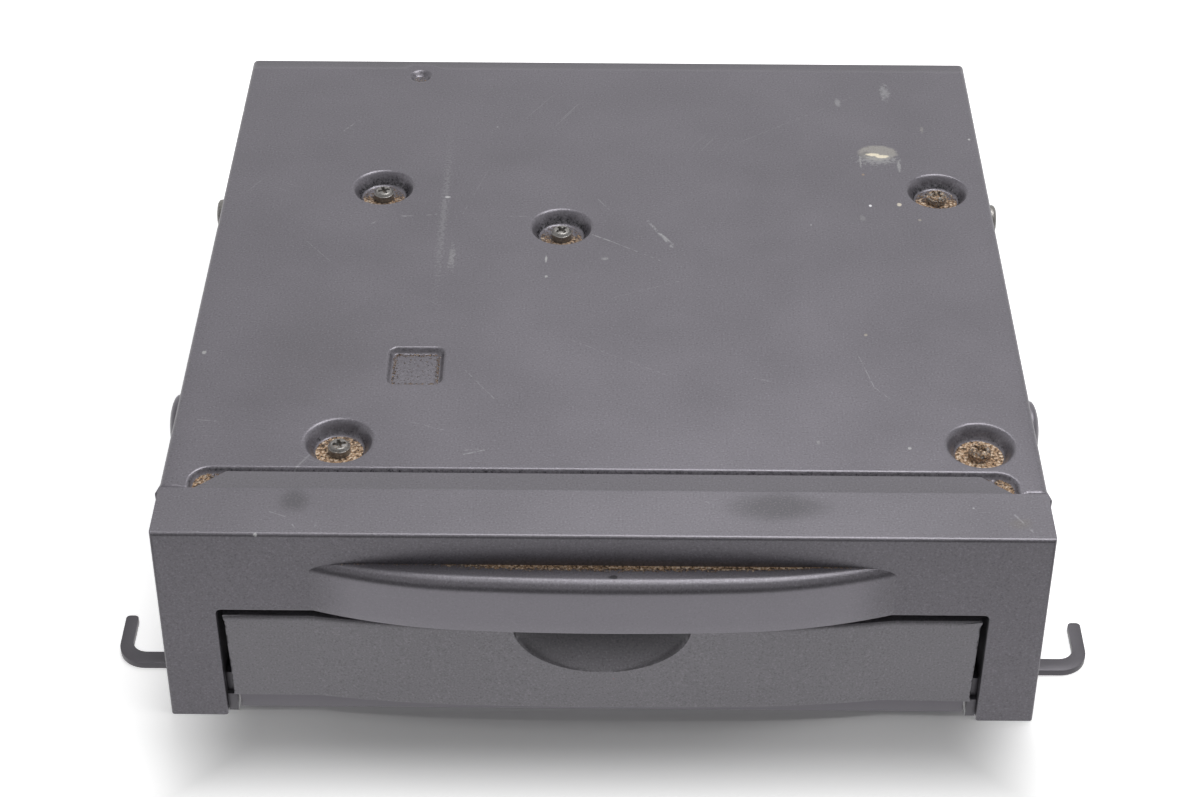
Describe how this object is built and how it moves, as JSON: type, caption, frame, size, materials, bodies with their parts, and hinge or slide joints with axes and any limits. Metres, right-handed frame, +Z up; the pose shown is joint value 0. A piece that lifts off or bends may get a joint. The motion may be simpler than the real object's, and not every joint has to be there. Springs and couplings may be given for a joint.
{
  "type": "car navigation disc reader",
  "caption": "Single-bay steel-cased disc reader for a vehicle: bowed bezel, flip-down door with finger scoop, slot-loading drive inside, flat side hooks.",
  "frame": {"origin": "middle of the case's flat bottom face, halfway between the bezel's front plane and the rear edge", "axes": "+Z up, the front and its door face -Y, +X to the right as seen from the front"},
  "size_m": [0.2058, 0.1908, 0.05],
  "materials": {
    "painted_steel": "fine-textured dark grey satin paint",
    "bezel_plastic": "dark grey textured moulding",
    "door_plastic": "dark grey satin moulding",
    "black_plastic": "matt black",
    "zinc_steel": "zinc plated",
    "screw_steel": "dull plated",
    "rubber": "matt",
    "felt": "black felt",
    "magnet": "sintered",
    "board_green": "solder-masked laminate",
    "ivory_plastic": "ivory moulding",
    "gear_plastic": "natural acetal",
    "window_plastic": "translucent tinted",
    "lens_glass": "clear",
    "brass": "plain",
    "aluminium": "satin",
    "chip_black": "moulded package"
  },
  "bodies": {
    "case": {"aerial_socket": "brass", "board_capacitors": "aluminium", "board_screws": "screw_steel", "board_standoffs": "brass", "bottom_chassis": "painted_steel", "button_board": "board_green", "clamp_arm_pin": "screw_steel", "connector_pins": "brass", "damper_bushes": "rubber", "damper_screws": "screw_steel", "deck_frame": "zinc_steel", "deck_ribbon_cable": "ivory_plastic", "display_connector": "ivory_plastic", "door_hinge_pins": "screw_steel", "door_magnets": "magnet", "drive_hanger": "zinc_steel", "eject_switch": "black_plastic", "front_bezel": "bezel_plastic", "guide_rods": "screw_steel", "harness_connector": "ivory_plastic", "idler_pin": "screw_steel", "inner_fascia": "black_plastic", "loading_motor": "zinc_steel", "lower_rail": "bezel_plastic", "main_board": "board_green", "main_chips": "chip_black", "motor_bracket": "zinc_steel", "rear_panel": "painted_steel", "rear_support_bush": "zinc_steel", "rod_blocks": "black_plastic", "roller_bearings": "gear_plastic", "side_guide_studs": "painted_steel", "side_screws": "screw_steel", "sled_motor": "zinc_steel", "slot_dust_pads": "felt", "spindle_motor": "zinc_steel", "status_lamp": "ivory_plastic", "status_window": "window_plastic", "top_cover": "painted_steel", "top_cover_screws": "screw_steel", "upper_disc_guide": "black_plastic"},
    "door": {"door_panel": "door_plastic", "door_carrier": "painted_steel"},
    "eject_button": {"eject_button": "black_plastic"},
    "roller": {"roller_shaft": "screw_steel", "roller_sleeves": "rubber", "roller_gear": "gear_plastic"},
    "idler": {"idler_gear": "gear_plastic"},
    "pinion": {"motor_pinion": "brass", "loading_motor_shaft": "screw_steel"},
    "turntable": {"turntable": "black_plastic"},
    "clamp_arm": {"clamp_arm": "zinc_steel"},
    "clamper": {"clamper": "black_plastic"},
    "sled": {"pickup_sled": "aluminium", "pickup_lens": "lens_glass"},
    "lead_screw": {"lead_screw": "screw_steel"}
  },
  "joints": [
    {"name": "door_hinge", "type": "hinge", "parent": "case", "child": "door", "pos_m": [0, -0.0849, 0.0066], "axis": [1, 0, 0], "range_deg": [0, 90]},
    {"name": "eject_press", "type": "slide", "parent": "case", "child": "eject_button", "axis": [0, 1, 0], "range_m": [0, 0.0012], "stiffness_N_per_m": 400, "springref_m": -0.0005},
    {"name": "roller_spin", "type": "hinge", "parent": "case", "child": "roller", "pos_m": [0, -0.0653, 0.019], "axis": [1, 0, 0], "continuous": true},
    {"name": "idler_spin", "type": "hinge", "parent": "case", "child": "idler", "pos_m": [-0.0634, -0.0551, 0.0116], "axis": [1, 0, 0], "continuous": true},
    {"name": "pinion_spin", "type": "hinge", "parent": "case", "child": "pinion", "pos_m": [-0.0634, -0.0459, 0.00886], "axis": [1, 0, 0], "continuous": true},
    {"name": "turntable_spin", "type": "hinge", "parent": "case", "child": "turntable", "pos_m": [0, -0.0013, 0.023], "axis": [0, 0, 1], "continuous": true},
    {"name": "clamp_lift", "type": "hinge", "parent": "case", "child": "clamp_arm", "pos_m": [0, 0.0617, 0.0296], "axis": [-1, 0, 0], "range_deg": [0, 6]},
    {"name": "clamper_spin", "type": "hinge", "parent": "clamp_arm", "child": "clamper", "pos_m": [0, -0.0013, 0.025], "axis": [0, 0, 1], "continuous": true},
    {"name": "sled_slide", "type": "slide", "parent": "case", "child": "sled", "axis": [0, 1, 0], "range_m": [0, 0.033]},
    {"name": "lead_screw_spin", "type": "hinge", "parent": "case", "child": "lead_screw", "pos_m": [0.031, 0.0407, 0.0156], "axis": [0, 1, 0], "range_deg": [0, 3961]}
  ],
  "couplings": [
    {"joint": "idler_spin", "follows": "roller_spin", "ratio": -0.90909},
    {"joint": "pinion_spin", "follows": "roller_spin", "ratio": 2},
    {"joint": "clamper_spin", "follows": "turntable_spin", "ratio": 1},
    {"joint": "lead_screw_spin", "follows": "sled_slide", "rad_per_m": 2094.4}
  ]
}
